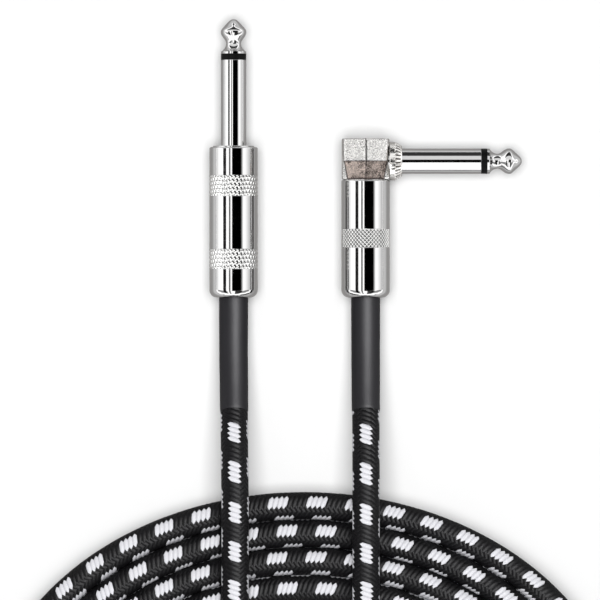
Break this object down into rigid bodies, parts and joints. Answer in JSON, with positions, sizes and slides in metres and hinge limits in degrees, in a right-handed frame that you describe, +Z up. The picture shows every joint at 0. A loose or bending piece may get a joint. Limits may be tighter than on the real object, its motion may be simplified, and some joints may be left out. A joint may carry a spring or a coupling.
{
  "type": "instrument cable",
  "caption": "Braided audio cord laid in an oval coil, with a straight jack plug on one end and a right-angle jack plug on the other, each with a screw-on barrel.",
  "frame": {"origin": "on the table, under the middle of the box round the two plugs", "axes": "+Y the way the straight plug points, +X the way the right-angle plug points, +Z up from the table"},
  "size_m": [0.162, 0.2471, 0.0199],
  "materials": {
    "chrome_plate": "polished",
    "cast_nickel": "rough cast, plated",
    "brass": "satin",
    "black_plastic": "semi-gloss",
    "liner_plastic": "matte",
    "shrink_tube": "satin",
    "jacket": "matte",
    "wire": "matte",
    "braid": "woven, black with rows of white flecks"
  },
  "bodies": {
    "cable": {"straight_finger": "chrome_plate", "straight_tip": "chrome_plate", "straight_tip_insulator": "black_plastic", "straight_rear_washer": "black_plastic", "straight_tip_lug": "brass", "straight_ground_clamp": "brass", "straight_jacket_end": "jacket", "straight_inner_wire": "wire", "straight_boot": "shrink_tube", "straight_lead": "braid", "cord_coil": "braid", "angle_lead": "braid", "angle_boot": "shrink_tube", "angle_inner_wire": "wire", "angle_jacket_end": "jacket", "angle_ground_clamp": "brass", "angle_head": "cast_nickel", "angle_collar": "cast_nickel", "angle_finger": "chrome_plate", "angle_tip": "chrome_plate", "angle_tip_insulator": "black_plastic"},
    "straight_sleeve": {"straight_liner": "liner_plastic"},
    "straight_cover": {"straight_barrel": "chrome_plate"},
    "angle_sleeve": {"angle_liner": "liner_plastic"},
    "angle_cover": {"angle_barrel": "chrome_plate"}
  },
  "joints": [
    {"name": "straight_barrel_slide", "type": "slide", "parent": "cable", "child": "straight_sleeve", "axis": [0, -1, 0], "range_m": [0, 0.005]},
    {"name": "straight_barrel_turn", "type": "hinge", "parent": "straight_sleeve", "child": "straight_cover", "pos_m": [-0.033, -0.016, 0.00605], "axis": [0, -1, 0], "range_deg": [0, 1801]},
    {"name": "angle_barrel_slide", "type": "slide", "parent": "cable", "child": "angle_sleeve", "axis": [0, -1, 0], "range_m": [0, 0.005]},
    {"name": "angle_barrel_turn", "type": "hinge", "parent": "angle_sleeve", "child": "angle_cover", "pos_m": [0, -0.02, 0.00605], "axis": [0, -1, 0], "range_deg": [0, 1801]}
  ],
  "couplings": [
    {"joint": "straight_barrel_turn", "follows": "straight_barrel_slide", "rad_per_m": 6283.2},
    {"joint": "angle_barrel_turn", "follows": "angle_barrel_slide", "rad_per_m": 6283.2}
  ]
}
